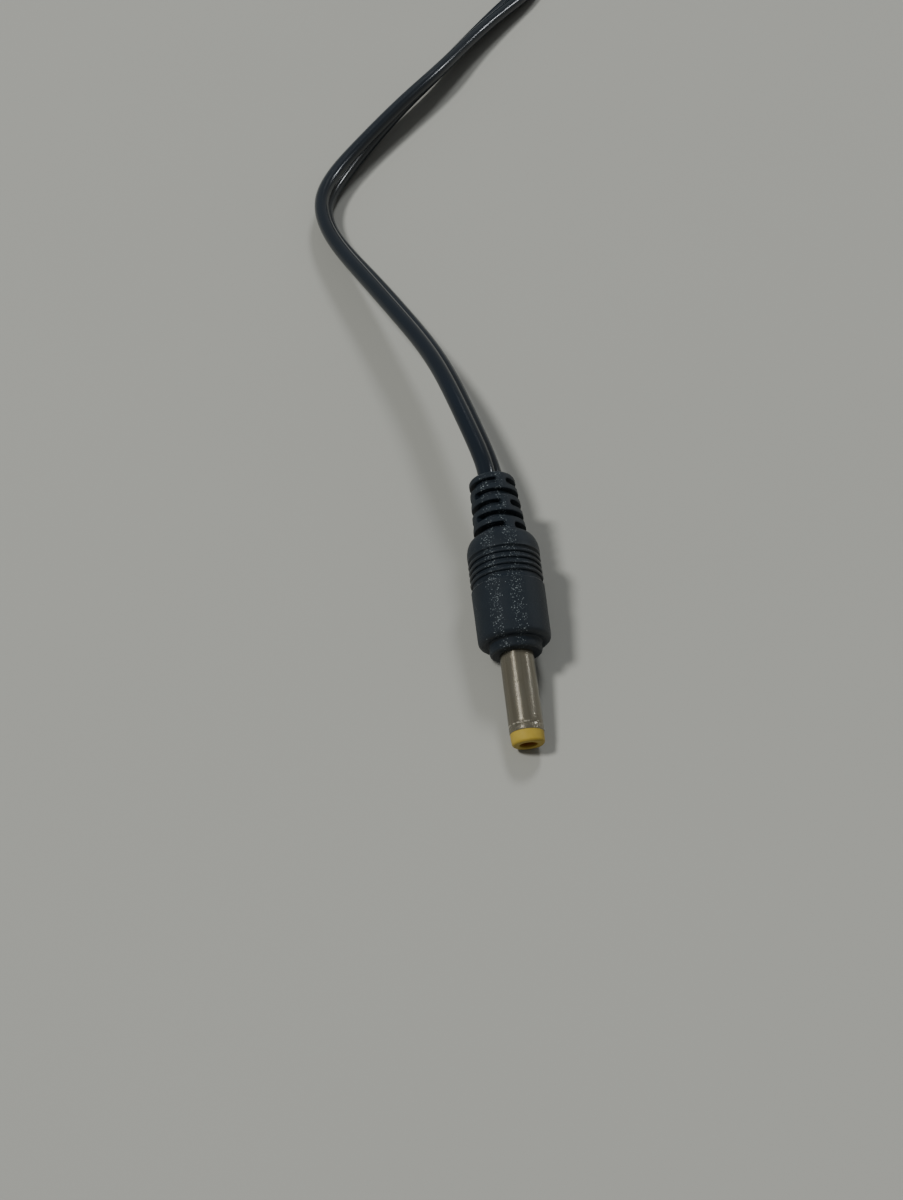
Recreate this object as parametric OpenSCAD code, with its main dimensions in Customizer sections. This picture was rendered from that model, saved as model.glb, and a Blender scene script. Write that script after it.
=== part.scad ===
// DC barrel plug, 4.0 x 1.7 mm, moulded on a twin cord with two bared ends.
// The plug lies nose down: the lip of its bead and the front edge of its body touch z = 0.
// Each piece of the plug is drawn along +Z from the mouth (z = 0) and then laid in place.

/* [Bead] */
// Outside diameter of the insulating bead where it meets the barrel
bead_d = 3.9; // [3.8:0.05:3.95]
// Outside diameter of the bead at its front, a little less for draft
bead_front_d = 3.8; // [3.6:0.05:3.85]
// Length of bead that shows in front of the barrel
bead_l = 1.4; // [1:0.1:2]
// Rounding of the bead's front edge
bead_round = 0.35; // [0.1:0.05:0.4]
// Diameter of the mouth through the bead
mouth_d = 2.05; // [1.9:0.05:2.15]
// Depth of the mouth, down to the socket tube
mouth_l = 0.6; // [0.4:0.1:0.9]

/* [Barrel] */
// Outside diameter of the barrel
barrel_d = 4.0; // [3.95:0.05:4.3]
// Length of barrel that shows between the bead and the boss
barrel_l = 9.6; // [8:0.2:12]
// Wall of the barrel tube
barrel_wall = 0.3; // [0.25:0.05:0.4]
// Length of the rolled lip at the barrel's front
lip_l = 0.75; // [0.4:0.05:1]
// Width of the turned line behind the lip
line_w = 0.14; // [0.08:0.02:0.2]
// Depth of the turned line
line_depth = 0.07; // [0.04:0.01:0.1]
// Diameter of the thicker root inside the moulding
root_d = 4.6; // [4.4:0.1:5]
// Depth of the root behind the boss's front face
root_depth = 0.15; // [0.1:0.01:0.18]
// Diameter of the flange that anchors the barrel in the moulding
flange_d = 5.6; // [5.2:0.1:6]
// Thickness of that flange
flange_t = 0.6; // [0.4:0.1:0.8]
// Depth of the flange behind the boss's front face
flange_depth = 2.0; // [1.6:0.1:2.6]

/* [Centre contact] */
// Bore of the socket tube, which takes the jack's pin
socket_d = 1.7; // [1.65:0.05:1.75]
// Wall of the socket tube
socket_wall = 0.25; // [0.2:0.05:0.3]
// Depth of the socket bore
socket_l = 8.8; // [7:0.2:9]
// Width of the two spring slits
slit_w = 0.2; // [0.15:0.05:0.3]
// Length of the spring slits
slit_l = 4.0; // [2:0.5:5]
// Room between the solder tail and each core's copper
tail_room = 0.2; // [0.15:0.05:0.25]
// Length of tail behind the rear bush
tail_l = 3.5; // [3:0.1:4]

/* [Rear bush and solder tag] */
// Length of bush inside the barrel
bush_l = 1.0; // [0.6:0.1:1.4]
// Diameter of the bush's head
bush_head_d = 4.6; // [4.2:0.1:4.7]
// Thickness of the bush's head
bush_head_t = 0.95; // [0.6:0.05:1.2]
// Sheet thickness of the solder tag
tag_t = 0.35; // [0.25:0.05:0.4]
// Outside diameter of the tag's ring
tag_ring_d = 5.5; // [5.4:0.05:5.6]
// Width of the tag's tongue
tag_w = 1.4; // [1.2:0.1:1.8]
// Length of the tongue behind the ring
tag_l = 3.6; // [3.2:0.1:4]
// Diameter of the wire hole in the tongue
tag_hole_d = 0.7; // [0.5:0.1:0.8]

/* [Inner mould] */
// Diameter of the inner mould
inner_d = 6.6; // [6.4:0.1:6.8]
// Length of the inner mould, from the flange back
inner_l = 9.0; // [8.2:0.1:9.4]
// Rounding of the inner mould's rear edge
inner_round = 0.8; // [0.4:0.1:1]

/* [Body] */
// Diameter of the boss round the barrel
boss_d = 6.2; // [5.8:0.1:6.8]
// Length of the boss
boss_l = 1.25; // [0.8:0.05:1.5]
// Rounding of the boss's front edge
boss_round = 0.3; // [0.1:0.05:0.5]
// Body diameter at its front edge
front_d = 8.6; // [8.4:0.1:9]
// Rounding of the body's front edge
front_round = 0.65; // [0.3:0.05:0.8]
// Length of the plain front of the body
plain_l = 7.05; // [6:0.05:9]
// Body diameter at the grip
grip_d = 8.8; // [8.6:0.1:9.2]

/* [Grip] */
// Number of grip ridges
ridge_n = 4; // [2:1:5]
// Distance from ridge to ridge
ridge_pitch = 0.8; // [0.7:0.05:0.9]
// Width of each ridge
ridge_w = 0.42; // [0.3:0.02:0.5]
// Depth of the grip grooves
groove_depth = 0.28; // [0.15:0.01:0.35]
// Width of the wide groove in front of the ridges
front_groove_w = 0.75; // [0.5:0.05:1]
// Width of the groove behind the ridges
rear_groove_w = 0.4; // [0.3:0.05:0.6]

/* [Shoulder] */
// Straight length behind the grip
shoulder_flat = 0.6; // [0.3:0.1:1]
// Length of the dome that runs down to the strain relief
shoulder_l = 2.1; // [1.5:0.1:3]

/* [Strain relief] */
// Diameter of the strain relief at the shoulder
relief_d1 = 6.6; // [6.2:0.1:7]
// Diameter of the strain relief at the cord's end
relief_d2 = 5.7; // [5.5:0.1:6]
// Rounding of the last edge
relief_round = 0.45; // [0.2:0.05:0.6]
// Length from the shoulder to the first slot
neck_l = 0.25; // [0.2:0.05:1]
// Number of slots
slot_n = 5; // [3:1:7]
// Width of each slot
slot_w = 0.76; // [0.5:0.02:0.9]
// Distance from slot to slot
slot_pitch = 1.58; // [1.4:0.02:1.8]
// Diameter of the core that is left round the cord
slot_core_d = 4.6; // [4.5:0.05:4.8]
// Chamfer at each slot's mouth
slot_chamfer = 0.12; // [0.05:0.01:0.2]
// Width of the webs that bridge each slot
web_w = 1.25; // [1:0.05:1.6]
// Length of the collar behind the last slot
collar_l = 0.95; // [0.8:0.05:1.4]

/* [Cord] */
// Width of the twin cord over both cores
cord_w = 4.3; // [4:0.1:4.4]
// Thickness of the twin cord, which is one core's diameter
cord_t = 2.2; // [2:0.1:2.3]
// Diameter of each core's copper
strand_d = 0.9; // [0.7:0.1:1]

/* [Coil] */
// Diameter over the outermost turn's centre
coil_d_out = 55.6; // [54:0.2:57]
// Diameter over the innermost turn's centre
coil_d_in = 44.8; // [43:0.2:46]
// Width of the coil tie
tie_w = 4; // [3:0.5:6]
// Thickness of the coil tie
tie_t = 0.5; // [0.4:0.1:0.8]

/* [Hidden] */
$fn = 96;

// running length past a face that a cut goes right through
over = 1;
// clearance between pieces that are moulded or pressed together
fit = 0.02;
// room between the tie and the coil that it holds
tie_room = 0.1;
// thickness of solder over the copper, and length of cord jacket held in the inner mould
solder_t = 0.12;
jacket_in = 2.2;
// length of tinned copper on each bared end
tinned_l = 5;
// turn of the plug about its own length, and of the cord's two cores in it
plug_roll = 19;
cord_turn = -33;

// stations along the plug, from the mouth
boss_z = bead_l + barrel_l;
body_z = boss_z + boss_l;
grip_z = body_z + plain_l;
ridge_z = grip_z + front_groove_w + ridge_w / 2;
shoulder_z = ridge_z + (ridge_n - 1) * ridge_pitch + ridge_w / 2 + rear_groove_w;
relief_z = shoulder_z + shoulder_flat + shoulder_l;
slot_z = relief_z + neck_l + slot_w / 2;
total_l = slot_z + (slot_n - 1) * slot_pitch + slot_w / 2 + collar_l;
root_z = boss_z + root_depth;
flange_z = boss_z + flange_depth;
sleeve_end = flange_z + flange_t;
bush_z = flange_z - bush_l;
head_z = sleeve_end + tag_t;
tail_z = head_z + bush_head_t;
tail_end = tail_z + tail_l;
tag_end = sleeve_end + tag_l;
inner_end = sleeve_end + inner_l;

// inside radii and the two cores' offset from the plug's middle
sleeve_r = barrel_d / 2 - barrel_wall;
socket_r = socket_d / 2 + socket_wall;
core_x = (cord_w - cord_t) / 2;
tail_d = 2 * (core_x - tail_room) - strand_d;
tongue_x = bush_head_d / 2 + 0.1;

// where each core's copper is bared, where it starts, and the solder that holds it
bare_z = inner_end - jacket_in;
plus_start = tail_end + solder_t;
plus_solder_r = (core_x + strand_d / 2 + tail_d / 2) / 2 + solder_t;
plus_solder_x = (core_x + strand_d / 2 - tail_d / 2) / 2;
minus_solder_r = (tongue_x - core_x) / 2 + solder_t;
minus_solder_x = (core_x + tongue_x) / 2;
minus_solder_z = tag_end - tag_hole_d;
minus_start = minus_solder_z - tag_hole_d;

// centres of the two round edges that the plug rests on: along the plug, and out from its middle
rest_tip = [bead_round, bead_front_d / 2 - bead_round];
rest_body = [body_z + front_round, front_d / 2 - front_round];
rest_span = norm(rest_body - rest_tip);
// nose-down lean, which is the slope of the line that touches both edges
lean = atan2(rest_body.y - rest_tip.y, rest_body.x - rest_tip.x)
    + asin((front_round - bead_round) / rest_span);
// height of the plug's middle at the mouth
tip_z = rest_tip.y * cos(lean) + bead_round - rest_tip.x * sin(lean);
// ends of the laid plug along Y, which the origin lies midway between
low_y = rest_tip.x * cos(lean) - rest_tip.y * sin(lean) - bead_round;
relief_edge = [total_l - relief_round, relief_d2 / 2 - relief_round];
high_y = relief_edge.x * cos(lean) + relief_edge.y * sin(lean) + relief_round;
tip_y = -(low_y + high_y) / 2;

// direction of the cord as it leaves, and the point where it does
exit_dir = [0, cos(lean), sin(lean)];
exit_point = [0, tip_y, tip_z] + total_l * exit_dir;

// route of the cord over the table: x, y, z, and the turn of its two cores from upright
lead_route = [
    [-0.3, 19, 8.75, -34], [-0.9, 21.6, 9.1, -36], [-1.7, 24.4, 9.3, -37], [-2.6, 28.4, 9.3, -37],
    [-3.4, 33, 8.9, -38], [-4.5, 38.2, 8.3, -41], [-6, 43, 7.5, -44], [-8, 48, 6.7, -46],
    [-10.3, 54, 5.7, -47], [-13, 60.8, 4.6, -46], [-15.8, 67.6, 3.5, -41], [-18.1, 74.4, 2.7, -30],
    [-18.9, 81.4, 2.3, -14], [-16.6, 88, 2.2, -8], [-13, 94, 2.3, 4], [-7.4, 102, 2.8, 20],
    [-2.6, 108.4, 3.1, 30], [2.4, 115.2, 3, 40], [7.2, 122.8, 2.4, 52], [13.2, 131.6, 1.5, 80],
    [17.2, 137, 1.15, 90], [21, 142, 1.15, 92], [23.9, 147.2, 1.3, 100], [26.2, 153.4, 1.6, 116],
    [28.6, 161.8, 2.02, 146]];

// middle of the coil, and the two heights that its turns lie at
coil_at = [8, 185];
coil_low = cord_w / 2;
coil_high = coil_low + cord_w;
coil_turn_r = coil_d_out / 2;
ring_in = coil_d_in / 2 - cord_t / 2;
ring_out = coil_turn_r + cord_t / 2;
ring_top = coil_high + cord_w / 2;

// point at an angle and a radius about the coil's middle
function round_coil(p) = [coil_at.x + p[1] * cos(p[0]), coil_at.y + p[1] * sin(p[0]), p[2],
    len(p) > 3 ? p[3] : 0];

// the lead runs into the coil's outer turn at this angle
coil_start = -28;
lead_end = round_coil([coil_start, coil_turn_r, coil_low, 180]);

// the cord's last stretch climbs off the outer turn and lies on the coil: angle, radius, z, turn
tail_route = [
    [-44, 27.9, 6.8, 184], [-38, 28.1, 7.6, 194], [-30, 28.3, 8.8, 216], [-20, 28.1, 9.9, 244],
    [-10, 27, 10.2, 262], [0, 25.8, 9.85, 269], [14, 25.15, 9.72, 270], [26, 25.1, 9.7, 270],
    [38, 25.1, 9.7, 270], [50, 25.1, 9.7, 270]];

// the two split cores, which spread and lift a little at their ends
plus_route = [
    [50, 26.15, 9.7], [58, 26.2, 9.7], [66, 26.4, 9.7], [76, 26.7, 9.7], [86, 27, 9.72],
    [98, 27.2, 9.8], [110, 27.3, 10], [122, 27.3, 10.4]];
minus_route = [
    [50, 24.05, 9.7], [58, 24, 9.7], [66, 23.8, 9.7], [77, 23.5, 9.7], [89, 23.2, 9.72],
    [102, 23, 9.8], [115, 22.9, 10], [128, 22.9, 10.4]];

// ---- shared forms ----

module lay() {
    translate([0, tip_y, tip_z])
        rotate([lean - 90, 0, 0])
            children();
}

// points of an arc round centre c in [radius, z], from angle a to b
function arc(c, r, a, b, n = 6) = [for (i = [0:n]) c + r * [cos(a + (b - a) * i / n), sin(a + (b - a) * i / n)]];

module tube(r_out, r_in, z0, z1) {
    difference() {
        translate([0, 0, z0])
            cylinder(r = r_out, h = z1 - z0);
        translate([0, 0, z0 - over])
            cylinder(r = r_in, h = z1 - z0 + 2 * over);
    }
}

module rod(r, z0, z1) {
    translate([0, 0, z0])
        cylinder(r = r, h = z1 - z0);
}

// the twin cord's section between two stations, grown by a clearance
module twin(grow, z0, z1) {
    rotate([0, 0, cord_turn]) {
        for (side = [-1, 1])
            translate([0, side * core_x, 0])
                rod(cord_t / 2 + grow, z0, z1);
        translate([-cord_t / 4, -core_x, z0])
            cube([cord_t / 2, 2 * core_x, z1 - z0]);
    }
}

module core_at(side) {
    rotate([0, 0, cord_turn])
        translate([0, side * core_x, 0])
            children();
}

// ---- overmould ----

relief_slope = (relief_d2 - relief_d1) / 2 / (total_l - relief_round - relief_z);
function relief_r(z) = relief_d1 / 2 + relief_slope * (z - relief_z);

function ridge_profile(i) = let (zc = ridge_z + i * ridge_pitch, floor_r = grip_d / 2 - groove_depth)
    [for (a = [-90:30:90]) [floor_r + groove_depth * cos(a), zc + ridge_w / 2 * sin(a)]];

dome_drop = grip_d / 2 - relief_d1 / 2;
function dome_profile() = [for (a = [0:10:90])
    [relief_d1 / 2 + dome_drop * cos(a), relief_z - shoulder_l + shoulder_l * sin(a)]];

function overmould_profile() = concat(
    [[0, boss_z]],
    arc([boss_d / 2 - boss_round, boss_z + boss_round], boss_round, -90, 0),
    [[boss_d / 2, body_z]],
    arc([front_d / 2 - front_round, body_z + front_round], front_round, -90, 0, 8),
    [[grip_d / 2, grip_z - 0.06], [grip_d / 2 - 0.06, grip_z], [grip_d / 2 - groove_depth, grip_z]],
    [for (i = [0:ridge_n - 1]) each ridge_profile(i)],
    [[grip_d / 2 - groove_depth, shoulder_z], [grip_d / 2 - 0.06, shoulder_z], [grip_d / 2, shoulder_z + 0.06]],
    dome_profile(),
    arc([relief_d2 / 2 - relief_round, total_l - relief_round], relief_round, 0, 90),
    [[0, total_l]]);

// one slot round the strain relief, bridged by two webs
module slot(i) {
    zc = slot_z + i * slot_pitch;
    r = relief_r(zc);
    half = slot_w / 2;
    far = relief_d1 / 2 + over;
    rotate([0, 0, i % 2 == 0 ? 0 : 90])
        difference() {
            rotate_extrude()
                polygon([[slot_core_d / 2, zc - half], [r - slot_chamfer, zc - half],
                    [far, zc - half - far + r - slot_chamfer], [far, zc + half + far - r + slot_chamfer],
                    [r - slot_chamfer, zc + half], [slot_core_d / 2, zc + half]]);
            translate([-web_w / 2, -far - over, zc - slot_pitch])
                cube([web_w, 2 * (far + over), 2 * slot_pitch]);
        }
}

module overmould() {
    color([0.13, 0.14, 0.16])
        lay()
            difference() {
                rotate_extrude()
                    polygon(overmould_profile());
                rotate([0, 0, plug_roll])
                    for (i = [0:slot_n - 1])
                        slot(i);
                rod(barrel_d / 2 + fit, boss_z - over, root_z);
                rod(root_d / 2 + fit, root_z, flange_z);
                rod(flange_d / 2 + fit, flange_z, sleeve_end);
                rod(inner_d / 2 + fit, sleeve_end, inner_end + fit);
                twin(fit, inner_end, total_l + over);
            }
}

// ---- contacts and their insulation ----

module barrel_sleeve() {
    line_z = bead_l + lip_l;
    color([0.75, 0.74, 0.72])
        lay()
            difference() {
                union() {
                    rod(barrel_d / 2, bead_l, sleeve_end);
                    rod(root_d / 2, root_z, sleeve_end);
                    rod(flange_d / 2, flange_z, sleeve_end);
                }
                rod(sleeve_r, bead_l - over, sleeve_end + over);
                rotate_extrude()
                    polygon([[barrel_d / 2 - line_depth, line_z + line_w / 2], [barrel_d / 2, line_z],
                        [barrel_d / 2 + over, line_z], [barrel_d / 2 + over, line_z + line_w],
                        [barrel_d / 2, line_z + line_w]]);
            }
}

module tip_insulator() {
    color([0.93, 0.78, 0.2])
        lay()
            rotate_extrude()
                polygon(concat([[mouth_d / 2, 0]],
                    arc([bead_front_d / 2 - bead_round, bead_round], bead_round, -90, 0),
                    [[bead_d / 2, bead_l], [sleeve_r - fit, bead_l], [sleeve_r - fit, bush_z],
                        [socket_r + fit, bush_z], [socket_r + fit, mouth_l], [mouth_d / 2, mouth_l]]));
}

module center_contact() {
    color([0.8, 0.72, 0.5])
        lay()
            difference() {
                union() {
                    rod(socket_r, mouth_l, mouth_l + socket_l + 2 * socket_wall);
                    rod(tail_d / 2, mouth_l + socket_l, tail_end);
                }
                rod(socket_d / 2, mouth_l - over, mouth_l + socket_l);
                rotate([0, 0, cord_turn])
                    translate([-slit_w / 2, -socket_r - over, mouth_l - over])
                        cube([slit_w, 2 * (socket_r + over), slit_l + over]);
            }
}

module rear_bush() {
    color([0.9, 0.88, 0.8])
        lay()
            difference() {
                union() {
                    rod(sleeve_r - fit, bush_z, head_z);
                    rod(bush_head_d / 2, head_z, tail_z);
                }
                rod(tail_d / 2 + fit, bush_z - over, tail_z + over);
            }
}

module tag_tongue(grow) {
    rotate([0, 0, cord_turn])
        translate([-tag_w / 2 - grow, -tongue_x - tag_t - grow, sleeve_end])
            cube([tag_w + 2 * grow, tag_t + 2 * grow, tag_l + grow]);
}

module ground_lug() {
    color([0.78, 0.7, 0.45])
        lay()
            difference() {
                union() {
                    tube(tag_ring_d / 2, sleeve_r, sleeve_end, head_z);
                    tag_tongue(0);
                }
                rotate([0, 0, cord_turn])
                    translate([0, -tongue_x + over, minus_solder_z])
                        rotate([90, 0, 0])
                            cylinder(d = tag_hole_d, h = tag_t + 2 * over);
            }
}

module strand(side, z0) {
    color([0.8, 0.48, 0.3])
        lay()
            core_at(side)
                rod(strand_d / 2, z0, total_l);
}

module plus_strands() {
    strand(1, plus_start);
}

module minus_strands() {
    strand(-1, minus_start);
}

module solder_ball(side, x, z, r) {
    rotate([0, 0, cord_turn])
        translate([0, side * x, z])
            sphere(r = r);
}

module plus_solder() {
    color([0.72, 0.73, 0.75])
        lay()
            difference() {
                solder_ball(1, plus_solder_x, tail_end, plus_solder_r);
                rod(tail_d / 2 + fit, 0, tail_end + fit);
                core_at(1)
                    rod(strand_d / 2 + fit, plus_start - fit, total_l);
            }
}

module minus_solder() {
    color([0.72, 0.73, 0.75])
        lay()
            difference() {
                solder_ball(-1, minus_solder_x, minus_solder_z, minus_solder_r);
                core_at(-1)
                    rod(strand_d / 2 + fit, minus_start - fit, total_l);
                tag_tongue(fit);
            }
}

// ---- inner mould ----

module inner_mould() {
    color([0.9, 0.9, 0.86])
        lay()
            difference() {
                rotate_extrude()
                    polygon(concat([[0, sleeve_end], [inner_d / 2, sleeve_end]],
                        arc([inner_d / 2 - inner_round, inner_end - inner_round], inner_round, 0, 90),
                        [[0, inner_end]]));
                rod(tag_ring_d / 2 + fit, sleeve_end - over, head_z + fit);
                rod(bush_head_d / 2 + fit, sleeve_end - over, tail_z);
                rod(tail_d / 2 + fit, sleeve_end, tail_end + fit);
                tag_tongue(fit);
                core_at(1)
                    rod(strand_d / 2 + fit, plus_start - fit, bare_z + over);
                core_at(-1)
                    rod(strand_d / 2 + fit, minus_start - fit, bare_z + over);
                solder_ball(1, plus_solder_x, tail_end, plus_solder_r + fit);
                solder_ball(-1, minus_solder_x, minus_solder_z, minus_solder_r + fit);
                twin(fit, bare_z, inner_end + over);
            }
}

// ---- cord ----

module cord_in_plug() {
    color([0.05, 0.05, 0.06])
        lay()
            difference() {
                twin(0, bare_z, total_l);
                for (side = [-1, 1])
                    core_at(side)
                        rod(strand_d / 2 + fit, bare_z - over, total_l + over);
            }
}

// eight points round the twin cord's section, and round one core's
twin_ring = [for (a = [22.5:45:337.5])
    [sign(cos(a)) * core_x + cord_t / 2 * cos(a), cord_t / 2 * sin(a)]];
core_ring = [for (a = [22.5:45:337.5]) cord_t / 2 * [cos(a), sin(a)]];

function unit(v) = v / norm(v);
function xyz(p) = [p.x, p.y, p.z];
function along(path, i) = unit(xyz(path[min(i + 1, len(path) - 1)]) - xyz(path[max(i - 1, 0)]));

// one ring of the swept cord: its cores' line is turned from upright by the fourth value
function ring_at(p, t, turn, ring) = let (
        up = unit([0, 0, 1] - t.z * t), right = cross(t, up),
        wide = up * cos(turn) + right * sin(turn), thin = cross(t, wide))
    [for (q = ring) xyz(p) + q.x * wide + q.y * thin];

module sweep(path, ring, first_dir, last_dir) {
    n = len(path);
    m = len(ring);
    dirs = [first_dir, for (i = [1:n - 2]) along(path, i), is_undef(last_dir) ? along(path, n - 1) : last_dir];
    rings = [for (i = [0:n - 1]) ring_at(path[i], dirs[i], path[i][3], ring)];
    points = [for (r = rings) each r];
    sides = [for (i = [0:n - 2], j = [0:m - 1])
        let (a = i * m + j, b = a + m, c = (i + 1) * m + (j + 1) % m, d = i * m + (j + 1) % m)
            each [[a, b, c], [a, c, d]]];
    ends = [[for (j = [0:m - 1]) j], [for (j = [m - 1:-1:0]) (n - 1) * m + j]];
    polyhedron(points, concat(sides, ends));
}

module cord_lead() {
    path = concat([[each exit_point, cord_turn]], lead_route, [lead_end]);
    color([0.05, 0.05, 0.06])
        sweep(path, twin_ring, exit_dir);
}

// closed solid of the coil's outer shape: three turns side by side, in two layers
module cord_coil() {
    edge = cord_t / 2;
    color([0.05, 0.05, 0.06])
        difference() {
            translate([coil_at.x, coil_at.y, 0])
                rotate_extrude()
                    polygon(concat(
                        arc([ring_in + edge, edge], edge, 180, 270, 3),
                        arc([ring_out - edge, edge], edge, 270, 360, 3),
                        arc([ring_out - edge, ring_top - edge], edge, 0, 90, 3),
                        arc([ring_in + edge, ring_top - edge], edge, 90, 180, 3)));
            tie_notch();
        }
}

// the tie passes under the coil in this notch, so that both lie on the table
module tie_notch() {
    translate([coil_at.x - ring_out - over, coil_at.y - tie_w / 2 - fit, -over])
        cube([ring_out - ring_in + 2 * over, tie_w + 2 * fit, over + tie_t + fit]);
}

// flat band round the whole section of the coil, at the side away from the lead
module coil_tie() {
    span = ring_out - ring_in + 2 * tie_room;
    color([0.1, 0.1, 0.1])
        translate([coil_at.x - (ring_in + ring_out) / 2, coil_at.y, 0])
            difference() {
                translate([-span / 2 - tie_t, -tie_w / 2, 0])
                    cube([span + 2 * tie_t, tie_w, ring_top + tie_room + tie_t]);
                translate([-span / 2, -tie_w / 2 - over, tie_t])
                    cube([span, tie_w + 2 * over, ring_top + tie_room - tie_t]);
            }
}

// a stretch that starts or ends on the coil does so square to the coil's radius there
function square_to(p) = [-sin(p[0]), cos(p[0]), 0];

module cord_tail() {
    color([0.05, 0.05, 0.06])
        sweep([for (p = tail_route) round_coil(p)], twin_ring, square_to(tail_route[0]),
            square_to(tail_route[len(tail_route) - 1]));
}

module lead_end_plus() {
    color([0.05, 0.05, 0.06])
        sweep([for (p = plus_route) round_coil(p)], core_ring, square_to(plus_route[0]));
}

module lead_end_minus() {
    color([0.05, 0.05, 0.06])
        sweep([for (p = minus_route) round_coil(p)], core_ring, square_to(minus_route[0]));
}

// bared, tinned copper that goes on in line with its core
module tinned(route) {
    path = [for (p = route) round_coil(p)];
    last = len(path) - 1;
    dir = along(path, last);
    color([0.75, 0.75, 0.76])
        translate(xyz(path[last]))
            rotate([0, acos(dir.z), atan2(dir.y, dir.x)])
                cylinder(d = strand_d, h = tinned_l, $fn = 48);
}

module tinned_end_plus() {
    tinned(plus_route);
}

module tinned_end_minus() {
    tinned(minus_route);
}

overmould();
inner_mould();
barrel_sleeve();
tip_insulator();
center_contact();
rear_bush();
ground_lug();
plus_strands();
minus_strands();
plus_solder();
minus_solder();
cord_in_plug();
cord_lead();
cord_coil();
coil_tie();
cord_tail();
lead_end_plus();
lead_end_minus();
tinned_end_plus();
tinned_end_minus();
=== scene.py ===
# DC barrel plug on a twin cord: camera, cord, plug, coil and light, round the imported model
import bpy
import math
import numpy as np
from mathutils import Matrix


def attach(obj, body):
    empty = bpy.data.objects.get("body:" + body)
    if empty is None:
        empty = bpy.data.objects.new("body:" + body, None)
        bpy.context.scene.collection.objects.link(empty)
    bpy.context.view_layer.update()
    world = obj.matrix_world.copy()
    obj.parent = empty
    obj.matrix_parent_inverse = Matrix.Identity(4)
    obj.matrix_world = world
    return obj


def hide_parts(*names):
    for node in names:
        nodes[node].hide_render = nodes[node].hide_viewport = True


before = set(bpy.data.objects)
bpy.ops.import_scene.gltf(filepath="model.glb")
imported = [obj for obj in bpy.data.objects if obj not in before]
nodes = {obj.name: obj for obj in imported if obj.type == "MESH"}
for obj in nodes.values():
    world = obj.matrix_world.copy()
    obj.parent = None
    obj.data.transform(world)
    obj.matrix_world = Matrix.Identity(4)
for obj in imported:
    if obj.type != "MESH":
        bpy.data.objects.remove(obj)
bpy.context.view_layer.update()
mm = 0.001
fullTurn = 2 * np.pi
print("frame loaded:", len(nodes), "nodes")


view = {
    "place": (-15.3, -79.8, 121.96),  # mm
    "downward": 55.0,  # degrees below the horizon
    "toRight": 5.95,  # degrees from +Y towards +X
    "lens": 24.0,  # mm, as long as the film is high
    "filmHeight": 24.0,
    "clip": (0.005, 20),  # metres
}

cameraData = bpy.data.cameras.new("camera")
cameraData.sensor_fit = "VERTICAL"
cameraData.sensor_height = view["filmHeight"]
cameraData.lens = view["lens"]
cameraData.clip_start, cameraData.clip_end = view["clip"]
camera = bpy.data.objects.new("camera", cameraData)
camera.location = [v * mm for v in view["place"]]
camera.rotation_euler = (math.radians(90 - view["downward"]), 0, -math.radians(view["toRight"]))
bpy.context.scene.collection.objects.link(camera)
bpy.context.scene.camera = camera
print("camera set")


def unit(v):
    # each vector over its own length
    return v / np.linalg.norm(v, axis=-1, keepdims=True)


def smoothStep(x, low, high):
    # 0 below low, 1 above high, and an even curve between
    t = np.clip((x - low) / (high - low), 0, 1)
    return t * t * (3 - 2 * t)


def squared(wave, power):
    # a sine or cosine pushed towards a square's side: its sign times its size to a power below 1
    return np.sign(wave) * np.abs(wave) ** power


def circle(columns):
    # even angles once round
    return np.linspace(0, fullTurn, columns, endpoint=False)


def ringOf(r, a):
    # radius and angle as a flat ring [column, wide thin]
    return np.stack([r * np.cos(a), r * np.sin(a)], -1)


def metresAlong(points):
    # how far along its line each point lies: the summed steps before it, from mm to metres
    steps = np.linalg.norm(np.diff(points, axis=0), axis=1)
    return np.concatenate([[0], np.cumsum(steps)]) * mm


def gridFaces(rows, columns, wrapRows):
    # a quad between each two rows and columns, and a fan of triangles onto a point at each open end
    r, c = np.meshgrid(np.arange(rows if wrapRows else rows - 1), np.arange(columns), indexing="ij")
    r2 = (r + 1) % rows
    c2 = (c + 1) % columns
    quads = np.stack([r * columns + c, r * columns + c2, r2 * columns + c2, r2 * columns + c], -1)
    quads = quads.reshape(-1, 4)
    if wrapRows:
        return quads, []
    k = np.arange(columns)
    k2 = (k + 1) % columns
    last = (rows - 1) * columns
    startPoint = np.full(columns, rows * columns)
    fans = np.stack([startPoint, k2, k], -1).tolist()
    fans += np.stack([startPoint + 1, last + k, last + k2], -1).tolist()
    return quads, fans


def volumeSign(verts, quads):
    # six times the volume that the quads' corners enclose: below 0 where the faces point inwards
    a, b, c, d = (verts[quads[:, i]] - verts.mean(0) for i in range(4))
    return np.sum(np.cross(a, b) * c) + np.sum(np.cross(a, c) * d)


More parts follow.
